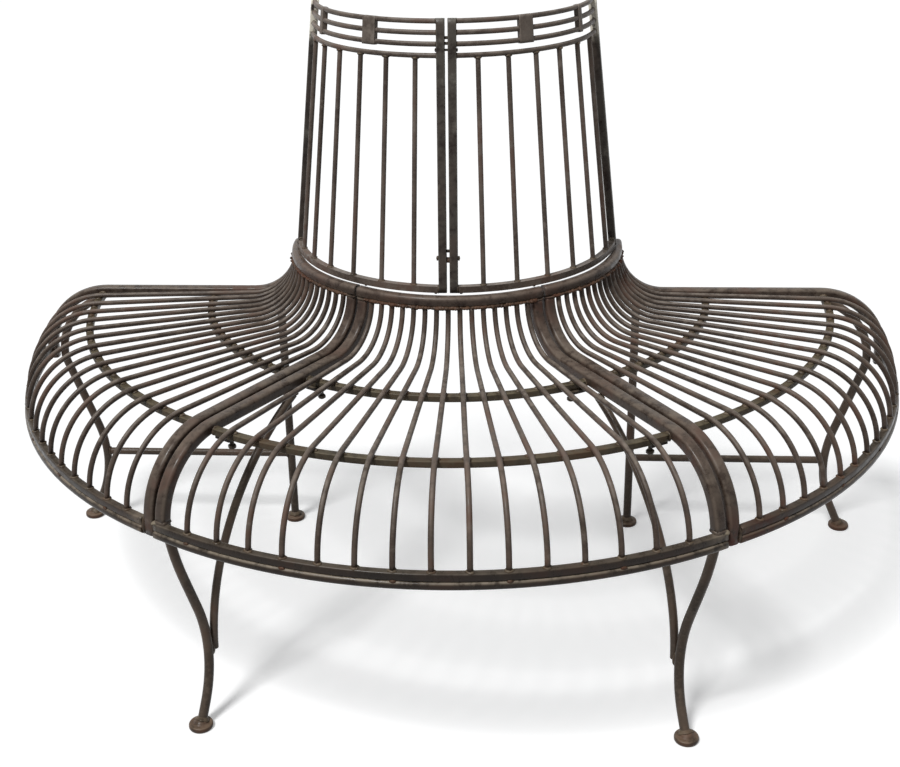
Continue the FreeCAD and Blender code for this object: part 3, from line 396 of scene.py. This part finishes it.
frame_outline, frame_edge = square_outline(2 * frame_half, 2 * frame_half, frame_corner)
frame_names = {
    "centre": ("centre_left_frame", "centre_right_frame"),
    "left": ("left_end_frame", "left_seam_frame"),
    "right": ("right_seam_frame", "right_end_frame"),
}
for section, (centre, start, end) in fan_centres.items():
    foot = front_rail_top + fit if section == "centre" else front_rail_underside
    line, normal = seat_curve(frame_half, foot)
    still_to_go = np.linspace(1, 0, len(line))[:, None]
    beads = []
    for name, azimuth in zip(frame_names[section], (start, end)):
        root, outward, sideways = out_from(centre, azimuth)
        axes = (outward, sideways, upward)
        path = root + line[:, :1] * outward + line[:, 1:] * upward
        rise = normal[:, :1] * outward + normal[:, 1:] * upward
        grid = carry(path, np.tile(sideways, (len(path), 1)), rise, frame_outline)
        inward = frame_half if azimuth == start else -frame_half
        for radius in support_radii.values():
            support_weld = (radius, inward, seat_top - 0.0138)
            beads.append(bead(root, axes, support_weld, (0.0078, 0.0032, 0.0068)))
        proud = end_proud if abs(azimuth) == end_angle else seam_proud
        skirts.append(weld_skirt(root, axes, line[0, 0], inner_rail_underside, -1, proud))
        if section == "centre":
            skirts.append(weld_skirt(root, axes, line[-1, 0], front_rail_top, 1, foot_proud))
            lip = (0.7015, -0.8 * inward, front_rail_top - 0.0008)
            lips.append(bead(root, axes, lip, (0.0080, 0.0056, 0.0036)))
        else:
            rail_weld = (0.7010, inward, front_rail_top - 0.012)
            beads.append(bead(root, axes, rail_weld, (0.0072, 0.0030, 0.0125)))
        if name == "right_seam_frame":
            red = 0.9 * np.exp(-(still_to_go / 0.06) ** 2)
        else:
            red = 0.25 * still_to_go ** 4
        steel(name + "_tube", [grid], frame_paint, wear_and_highlight=0.45 * frame_edge[None, :],
              rust=red * np.ones(len(frame_edge)), nodes=[name])
    weld_beads(section + "_frame_welds", beads, weld_paint, 0.6)
weld_beads("seam_lips", lips, worn_paint, 1.0)
steel("frame_end_welds", skirts, frame_paint, wear_and_highlight=0.3)


# Rails and supports: flat and square bars bent round each section's centre. The inner rail
# caps the rods, two supports lie under them, and two bars one over the other make the front.
inner_rail_radius, inner_rail_side, inner_rail_corner = 0.248, 0.017, 0.0060
support_depth, support_height, support_corner, support_drop = 0.012, 0.010, 0.0015, 0.0009
support_underside = seat_top - 2 * rod_radius - support_drop - support_height
front_bar_side, front_stations = 0.012, 150
front_bars = ((1, 0.702, 0.0026), (2, 0.704, 0.0050))
# Painted highlight: outline points 1 to 4 are the lower front bar's top outer edge, and these are
# the amounts by which the wear attribute pales them.
ledge_points, ledge_highlight = slice(1, 5), (0.1, 0.6, 0.9, 0.5)
rail_paint = old_paint(
    "rail_paint", tone(40, 28, 23), tone(62, 47, 40), tone(132, 118, 106),
    tone(72, 36, 27), 0.3, 0.6)
support_paint = old_paint(
    "support_paint", tone(42, 33, 26), tone(76, 67, 53), tone(108, 99, 80), tone(70, 42, 30), 0.42)
# The front bars' paint is darker than the inner rail's: their own dark brown, deepened by painted
# shade on the front faces.
front_paint_and_shade = old_paint(
    "front_paint_and_shade", tone(26, 18, 13), tone(38, 28, 21), tone(150, 138, 122),
    tone(62, 29, 20), 0.3, 0.35)


def bent_bar(centre, start, end, radius, underside, depth, height, corner, stations):
    """A rounded bar about a centre: its outline's first measure runs outward along the radius
    and its second upward, for even steps of azimuth from start to end."""
    turn = np.linspace(start, end, stations)
    outward = np.stack([np.sin(turn), -np.cos(turn), np.zeros(stations)], axis=1)
    path = np.append(centre, underside + height / 2) + radius * outward
    outline, edge = square_outline(depth, height, corner)
    return carry(path, outward, np.tile(upward, (stations, 1)), outline), edge


def side_angle(side, radius):
    """The angle whose sine is a sideways distance over a radius."""
    return asin(side / radius)


for section, (centre, start, end) in fan_centres.items():
    cap = side_angle(frame_half, inner_rail_radius - inner_rail_side / 2)
    grid, edge = bent_bar(centre, start - cap, end + cap, inner_rail_radius, inner_rail_underside,
                          inner_rail_side, inner_rail_side, inner_rail_corner, 60)
    steel(section + "_inner_rail_bar", [grid], rail_paint, wear_and_highlight=0.5 * edge[None, :],
          nodes=[section + "_inner_rail"])
    for place_name, radius in support_radii.items():
        inset = side_angle(frame_half + fit, radius - support_depth / 2)
        grid, edge = bent_bar(centre, start + inset, end - inset, radius, support_underside,
                              support_depth, support_height, support_corner, 80)
        name = "%s_%s_support" % (section, place_name)
        steel(name + "_bar", [grid], support_paint, wear_and_highlight=0.7 * edge[None, :], nodes=[name])
    bars = []
    for bars_down, radius, corner in front_bars:
        inner_face = radius - front_bar_side / 2
        if section == "centre":
            inset = -side_angle(frame_half, inner_face)
        else:
            inset = side_angle(frame_half + fit, inner_face)
        underside = front_rail_top - bars_down * front_bar_side
        grid, edge = bent_bar(centre, start + inset, end - inset, radius, underside,
                              front_bar_side, front_bar_side, corner, front_stations)
        bars.append(grid)
    tacks = []
    first_tack = 1 if section == "centre" else 2
    tacked_rods = np.arange(first_tack, rods_in_section, 3)
    for azimuth in start + (end - start) * tacked_rods / (rods_in_section + 1):
        root, outward, sideways = out_from(centre, azimuth)
        tack = (0.7078, 0.001, front_rail_top - 0.0125)
        tacks.append(bead(root, (outward, sideways, upward), tack, (0.0019, 0.0046, 0.0024)))
    weld_beads(section + "_bar_tacks", tacks, head_weld_paint, 0.5)
    share = np.linspace(0, 1, front_stations)[:, None]
    ends = 0.35 * np.exp(-(share / 0.02) ** 2) + 0.6 * np.exp(-((1 - share) / 0.03) ** 2)
    red = 0.6 * np.exp(-(share / 0.10) ** 2) if section == "right" else 0.2 * ends
    worn = np.stack([np.clip(0.06 * edge[None, :] + ends, 0, 1)] * 2)
    # The lower bar's top outer edge takes the painted highlight.
    worn[1, :, ledge_points] = ledge_highlight
    names = ["%s_front_rail_%s" % (section, bar) for bar in ("upper", "lower")]
    steel(section + "_front_rail_bars", bars, front_paint_and_shade, wear_and_highlight=worn,
          rust=red * np.ones(len(edge)), nodes=names)


# Legs, stretchers and struts: bent round tube and rod, with the gloss of paint that nobody
# rubs. The CAD solids have their true shape, so they only take the paint and their welds.
leg_paint = old_paint(
    "leg_paint", tone(60, 50, 41), tone(92, 79, 68), tone(128, 115, 102),
    tone(80, 50, 37), 0.32, 0.7)
stretcher_ends, stretcher_back, stretcher_height = (0.3083, 0.6318), 0.34108, 0.1335
plain_axes = tuple(np.eye(3))


def dress(words, material):
    """Give a material to every CAD node whose name ends with one of these words."""
    for name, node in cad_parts.items():
        if name.endswith(words):
            node.data.materials.clear()
            node.data.materials.append(material)


dress(("seam_leg", "end_leg", "inner_leg", "stretcher", "strut"), leg_paint)
beads = []
for sign in (-1, 1):
    for along in stretcher_ends:
        stretcher_weld = (sign * along, stretcher_back, stretcher_height)
        beads.append(bead(np.zeros(3), plain_axes, stretcher_weld, (0.0030, 0.0080, 0.0080)))
    root, outward, sideways = out_from(fan_centres["centre"][0], sign * seam_angle)
    axes = (outward, sideways, upward)
    strut_top = (0.4330, -sign * 0.008, 0.4260)
    strut_foot = (0.6405, -sign * 0.009, 0.1045)
    beads.append(bead(root, axes, strut_top, (0.0090, 0.0080, 0.0036)))
    beads.append(bead(root, axes, strut_foot, (0.0036, 0.0062, 0.0120)))
weld_beads("leg_welds", beads, weld_paint, 0.3)


# Feet: a turned steel disc under each leg, its rims rounded and rubbed, with the leg's tube
# standing on it in a thick ring of weld. Damp has got at them more than at the rest.
foot_paint = old_paint(
    "foot_paint", tone(38, 28, 21), tone(64, 49, 39), tone(136, 122, 104), tone(84, 44, 29), 0.34)
dome_height, leg_end_height = 0.0015, 0.006
disc_radii = np.array([
    15.2, 16.7, 17.4, 17.5, 17.3, 16.5, 15.1, 13.0, 11.2, 10.2, 9.2, 7.6, 5.4, 2.5]) / 1000
disc_heights = np.array([
    0.0, 0.5, 1.8, 4.0, 6.1, 7.4, 7.9, 8.0, 8.1, 8.6, 9.9, 11.4, 12.75, 13.7]) / 1000
disc_wear = np.array([0.2, 0.5, 0.4, 0.2, 0.3, 0.7, 0.5, 0.2, 0.1, 0.1, 0.1, 0.1, 0.1, 0.1])
ring_radii = np.array([10.6, 10.9, 10.4, 9.4, 8.2, 7.3]) / 1000
ring_reach = np.array([7.2, 8.2, 9.2, 10.6, 12.2, 13.4]) / 1000
disc_sides, ring_sides = 40, 32


def leg_end(name):
    """The middle of the ring on which a leg ends: the mean of its points in its lowest 6 mm."""
    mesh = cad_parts[name].data
    points = np.empty(3 * len(mesh.vertices))
    mesh.vertices.foreach_get("co", points)
    points = points.reshape(-1, 3)
    return points[points[:, 2] < points[:, 2].min() + leg_end_height].mean(axis=0)


def weld_ring(dome, along):
    """Rings about the leg's axis that close in on its tube, on slow waves: (1 + w) r, with
    w = 0.05 sin(5 t + p) + 0.03 sin(8 t + q) fading towards the tube."""
    first = np.cross(along, plain_axes[1])
    first = first / np.linalg.norm(first)
    second = np.cross(along, first)
    steps = len(ring_radii)
    path = dome + ring_reach[:, None] * along
    grid = carry(path, np.tile(first, (steps, 1)), np.tile(second, (steps, 1)),
                 round_outline(1.0, ring_sides), ring_radii)
    turn = np.arange(ring_sides) * tau / ring_sides
    wave = 0.05 * np.sin(5 * turn + chance.uniform(0, tau))
    wave = wave + 0.03 * np.sin(8 * turn + chance.uniform(0, tau))
    fade = np.linspace(1.0, 0.2, steps)[:, None]
    return path[:, None, :] + (grid - path[:, None, :]) * (1 + wave * fade)[..., None]


feet, rings, foot_names = [], [], []
for side in ("left", "right"):
    for leg in ("seam", "end", "inner"):
        foot_names.append("%s_%s_foot" % (side, leg))
        low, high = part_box(foot_names[-1])
        sole = (np.array(low) + np.array(high)) / 2 * (1, 1, 0)
        path = sole + disc_heights[:, None] * upward
        side_ways, back_ways = (np.tile(axis, (len(path), 1)) for axis in plain_axes[:2])
        feet.append(carry(path, side_ways, back_ways, round_outline(1.0, disc_sides), disc_radii))
        dome = sole + dome_height * upward
        along = leg_end("%s_%s_leg" % (side, leg)) - dome
        rings.append(weld_ring(dome, along / np.linalg.norm(along)))
steel("disc_feet", feet, foot_paint, wear_and_highlight=disc_wear[:, None], rust=0.35, nodes=foot_names)
steel("foot_welds", rings, weld_paint, wear_and_highlight=0.7, rust=0.2)


# The back: two panels of round bars between square stiles, a square rail below and four round
# rails above, gathered by flat collars. The bars are paler than the seat's rods, the stiles are
# darker, and the outer stiles' tops have bleached.
back_paint = old_paint(
    "back_paint", tone(72, 61, 54), tone(114, 103, 94), tone(152, 142, 132),
    tone(84, 52, 41), 0.38)
stile_paint = old_paint(
    "stile_paint", tone(28, 18, 15), tone(43, 32, 27), tone(240, 234, 218),
    tone(66, 35, 27), 0.36, 0.3)
dress(("top_rail_1", "top_rail_2", "top_rail_3", "top_rail_4", "back_bars", "back_bottom_rail"),
      back_paint)
tree_axis = np.array([0.0, 0.365881])
back_foot, back_middle, top_rail_height, top_rail_step = 0.5345, 0.5395, 0.9295, 0.016
back_foot_radius, back_fall = 0.260, 0.0435
back_end, back_bars_in_panel = radians(82), 6
stile_half, stile_corner, stile_gap, stile_over = 0.00625, 0.0020, 0.0042, 0.004
panel_edge = 2 * stile_half + stile_gap / 2
stile_stations = 40


def back_radius(height):
    """The back's radius at a height: it falls evenly from the bottom rail to the top one."""
    return back_foot_radius - back_fall * (height - back_middle) / (top_rail_height - back_middle)


def between_backs(height):
    """The point midway between the two backs: the tree's axis less (0, radius, 0)."""
    return np.append(tree_axis, height) - np.array([0.0, back_radius(height), 0.0])


def leaning_bar(azimuth, side, low, high, outline, stations):
    """An outline carried up the back's slope at an azimuth, moved sideways from the axis."""
    root, outward, sideways = out_from(tree_axis, azimuth)
    height = np.linspace(low, high, stations)[:, None]
    path = root + back_radius(height) * outward + side * sideways + height * upward
    lean = np.array([top_rail_height - back_middle, back_fall])
    lean = lean / np.linalg.norm(lean)
    rise = lean[0] * outward + lean[1] * upward
    return carry(path, np.tile(sideways, (stations, 1)), np.tile(rise, (stations, 1)), outline)


stile_outline, stile_edge = square_outline(2 * stile_half, 2 * stile_half, stile_corner)
share = np.linspace(0, 1, stile_stations)[:, None]
stile_bleach = {
    "inner_stile": 0.03 * share,
    "outer_stile": 2.2 / (1 + np.exp(-(share - 0.87) / 0.012)),
}
rail_welds = [(back_middle, 0.0066)]
rail_welds += [(top_rail_height - k * top_rail_step, 0.0040) for k in range(4)]
lowest_top_rail = top_rail_height - 3 * top_rail_step
beads = []
for side, sign in (("left", -1), ("right", 1)):
    middle = sign * (stile_half + stile_gap / 2)
    stile_places = {"inner_stile": (0.0, middle), "outer_stile": (sign * back_end, 0.0)}
    for name, (azimuth, across) in stile_places.items():
        grid = leaning_bar(azimuth, across, back_foot, top_rail_height + stile_over,
                           stile_outline, stile_stations)
        steel("%s_%s_post" % (side, name), [grid], stile_paint,
              wear_and_highlight=0.12 * stile_edge[None, :] + stile_bleach[name], nodes=["%s_%s" % (side, name)])
    for height, size in rail_welds:
        inner_end = between_backs(height) + sign * panel_edge * plain_axes[0]
        beads.append(bead(inner_end, plain_axes, (0, 0, 0), (0.0024, size, size)))
        root, outward, sideways = out_from(tree_axis, sign * back_end)
        outer_end = (back_radius(height), -sign * stile_half, height)
        beads.append(bead(root, (outward, sideways, upward), outer_end, (size, 0.0024, size)))
    steps = np.arange(1, back_bars_in_panel + 1) / (back_bars_in_panel + 1)
    for azimuth in sign * back_end * steps:
        root, outward, sideways = out_from(tree_axis, azimuth)
        axes = (outward, sideways, upward)
        for height in (back_foot + 0.0101, lowest_top_rail - 0.0036):
            bar_end = (back_radius(height), 0, height)
            beads.append(bead(root, axes, bar_end, (0.0053, 0.0056, 0.0024)))
weld_beads("back_welds", beads, weld_paint, 0.4)

collars = []
collar_thick, collar_corner, collar_low, collar_high = 0.0092, 0.0012, 0.8929, 0.9331
for sign in (-1, 1):
    for degrees_out, width in ((31, 0.0225), (61, 0.0095)):
        outline, edge = square_outline(width, collar_thick, collar_corner)
        azimuth = sign * radians(degrees_out)
        collars.append(leaning_bar(azimuth, 0.0, collar_low, collar_high, outline, 10))
steel("top_rail_collars", collars, back_paint, wear_and_highlight=0.8 * edge[None, None, :],
      nodes=["rail_collars"])


# Fasteners: the plates under the seat, the nuts and the bolts, of plain steel that was
# painted over when the bench was put together and has rusted since.
bolt_paint = old_paint(
    "bolt_paint", tone(28, 22, 18), tone(52, 42, 34), tone(110, 100, 86), tone(76, 42, 28), 0.36)
dress(("support_plates",), bolt_paint)
back_bolts = ((0.8895, 0.0054, 0.0013), (0.5865, 0.0064, 0.0024))
gap_links = ((0.9065, 0.0023), (0.8985, 0.0023), (0.5975, 0.0024), (0.5830, 0.0034))
plate_bolt_radii, plate_bolt_side, plate_top = (0.3965, 0.5875), 0.032, 0.4243
post_bolt_radius, post_bolt_height = 0.2596, 0.5435
foot_pin_angles, foot_pin_height = (4.2, 29.6, 70), 0.5330


def turned_piece(centre, along, reach_of, radii, sides):
    """A nut, a bolt or a pin: rings of so many sides and of these radii about an axis, each
    at its own distance from the centre."""
    along = along / np.linalg.norm(along)
    helper = plain_axes[2] if abs(along[2]) < 0.9 else plain_axes[1]
    first = np.cross(along, helper)
    first = first / np.linalg.norm(first)
    second = np.cross(along, first)
    path = centre + np.array(reach_of)[:, None] * along
    steps = len(radii)
    return carry(path, np.tile(first, (steps, 1)), np.tile(second, (steps, 1)),
                 round_outline(1.0, sides), np.array(radii))


def bolt(centre, along, low, high, radius):
    """A round bar with its two ends turned down a little."""
    step = 0.3 * radius
    reach_of = (low, low + step, high - step, high)
    return turned_piece(centre, along, reach_of, (0.7 * radius, radius, radius, 0.7 * radius), 16)


def nut(centre, along, low, high, width):
    """A hexagon with its corners turned off at both faces."""
    across, cut = width / 3 ** 0.5, 0.12 * (high - low)
    reach_of = (low, low + cut, high - cut, high)
    return turned_piece(centre, along, reach_of, (0.9 * across, across, across, 0.9 * across), 6)


bolts, hexagons = [], []
face = panel_edge + fit
for height, width, thick in back_bolts:
    middle = between_backs(height)
    tip = face + thick + 0.0006
    bolts.append(bolt(middle, plain_axes[0], -tip, tip, 0.0018))
    for sign in (-1, 1):
        hexagons.append(nut(middle, plain_axes[0], sign * face, sign * (face + thick), width))
for height, radius in gap_links:
    bolts.append(bolt(between_backs(height), plain_axes[0], -0.0030, 0.0030, radius))
for sign in (-1, 1):
    root, outward, sideways = out_from(fan_centres["centre"][0], sign * seam_angle)
    for radius in plate_bolt_radii:
        spot = root + radius * outward - sign * plate_bolt_side * sideways + plate_top * upward
        bolts.append(bolt(spot, upward, -0.0145, 0.0040, 0.003))
        hexagons.append(nut(spot, upward, -0.0130, -0.0080, 0.010))
    root, outward, sideways = out_from(tree_axis, sign * back_end)
    spot = root + post_bolt_radius * outward + post_bolt_height * upward
    bolts.append(bolt(spot, -sign * sideways, 0.0040, 0.0150, 0.003))
    hexagons.append(nut(spot, -sign * sideways, 0.0064, 0.0125, 0.0098))
    for degrees_out in foot_pin_angles:
        root, outward, sideways = out_from(tree_axis, sign * radians(degrees_out))
        spot = root + back_foot_radius * outward + foot_pin_height * upward
        bolts.append(bolt(spot, upward, -0.0014, 0.0014, 0.0025))
steel("bolts_and_foot_pins", bolts, bolt_paint, wear_and_highlight=0.3, nodes=["bolts_and_pins"])
steel("hexagon_nuts", hexagons, bolt_paint, wear_and_highlight=0.5, nodes=["nuts"])


# The floor is one plain pale sheet that takes the bench's shadow. For the camera and for
# mirrors it is paler and glows a little, so that it is white away from the shadow.
floor_mesh = bpy.data.meshes.new("floor")
floor_half = 40.0
bounced_grey, seen_grey, floor_lift = (0.34, 0.33, 0.32, 1), (0.80, 0.80, 0.80, 1), 0.34
corners = [(x * floor_half, y * floor_half, 0) for x, y in ((-1, -1), (1, -1), (1, 1), (-1, 1))]
floor_mesh.from_pydata(corners, [], [(0, 1, 2, 3)])
floor = bpy.data.objects.new("floor", floor_mesh)
bpy.context.collection.objects.link(floor)
floor_finish = bpy.data.materials.new("floor_finish")
floor_finish.use_nodes = True
nodes, links = floor_finish.node_tree.nodes, floor_finish.node_tree.links
pale = nodes["Principled BSDF"]
pale.inputs["Roughness"].default_value = 1.0
pale.inputs["Specular IOR Level"].default_value = 0.0


def seen_directly(nodes, links):
    """1 for rays from the camera, from a mirror or through glass: the largest of the three."""
    rays = nodes.new("ShaderNodeLightPath")
    largest = rays.outputs["Is Camera Ray"]
    for ray in ("Is Glossy Ray", "Is Transmission Ray"):
        larger = nodes.new("ShaderNodeMath")
        larger.operation = "MAXIMUM"
        links.new(largest, larger.inputs[0])
        links.new(rays.outputs[ray], larger.inputs[1])
        largest = larger.outputs[0]
    return largest


seen = seen_directly(nodes, links)
colour = nodes.new("ShaderNodeMix")
colour.data_type = "RGBA"
links.new(seen, colour.inputs[0])
colour.inputs[6].default_value = bounced_grey
colour.inputs[7].default_value = seen_grey
links.new(colour.outputs[2], pale.inputs["Base Color"])
glow = nodes.new("ShaderNodeEmission")
glow.inputs["Color"].default_value = (1, 1, 1, 1)
lift = nodes.new("ShaderNodeMath")
lift.operation = "MULTIPLY"
lift.inputs[1].default_value = floor_lift
links.new(seen, lift.inputs[0])
links.new(lift.outputs[0], glow.inputs["Strength"])
both = nodes.new("ShaderNodeAddShader")
links.new(pale.outputs[0], both.inputs[0])
links.new(glow.outputs[0], both.inputs[1])
links.new(both.outputs[0], nodes["Material Output"].inputs["Surface"])
floor_mesh.materials.append(floor_finish)


# Light: an even pale sky and one soft lamp above the bench, a little in front and to the
# left of it, as in a white studio.
world = bpy.data.worlds.new("studio")
bpy.context.scene.world = world
world.use_nodes = True
nodes, links = world.node_tree.nodes, world.node_tree.links
sky = nodes["Background"]
sky.inputs["Color"].default_value = (0.93, 0.97, 1.0, 1)
sky.inputs["Strength"].default_value = 0.17
white = nodes.new("ShaderNodeBackground")
white.inputs["Strength"].default_value = 1.0
choose = nodes.new("ShaderNodeMixShader")
links.new(seen_directly(nodes, links), choose.inputs[0])
links.new(sky.outputs[0], choose.inputs[1])
links.new(white.outputs[0], choose.inputs[2])
links.new(choose.outputs[0], nodes["World Output"].inputs["Surface"])

lamp = bpy.data.objects.new("overhead_lamp", bpy.data.lights.new("overhead_lamp", "SUN"))
bpy.context.collection.objects.link(lamp)
lamp.data.energy = 2.7
lamp.data.angle = radians(14)
lamp_x, lamp_y, lamp_z = -0.35, -0.48, 1.0
tip_back = Matrix.Rotation(-atan2(lamp_y, lamp_z), 4, "X")
tip_aside = Matrix.Rotation(atan2(lamp_x, hypot(lamp_y, lamp_z)), 4, "Y")
lamp.matrix_world = tip_back @ tip_aside

bpy.context.scene.view_settings.view_transform = "Standard"
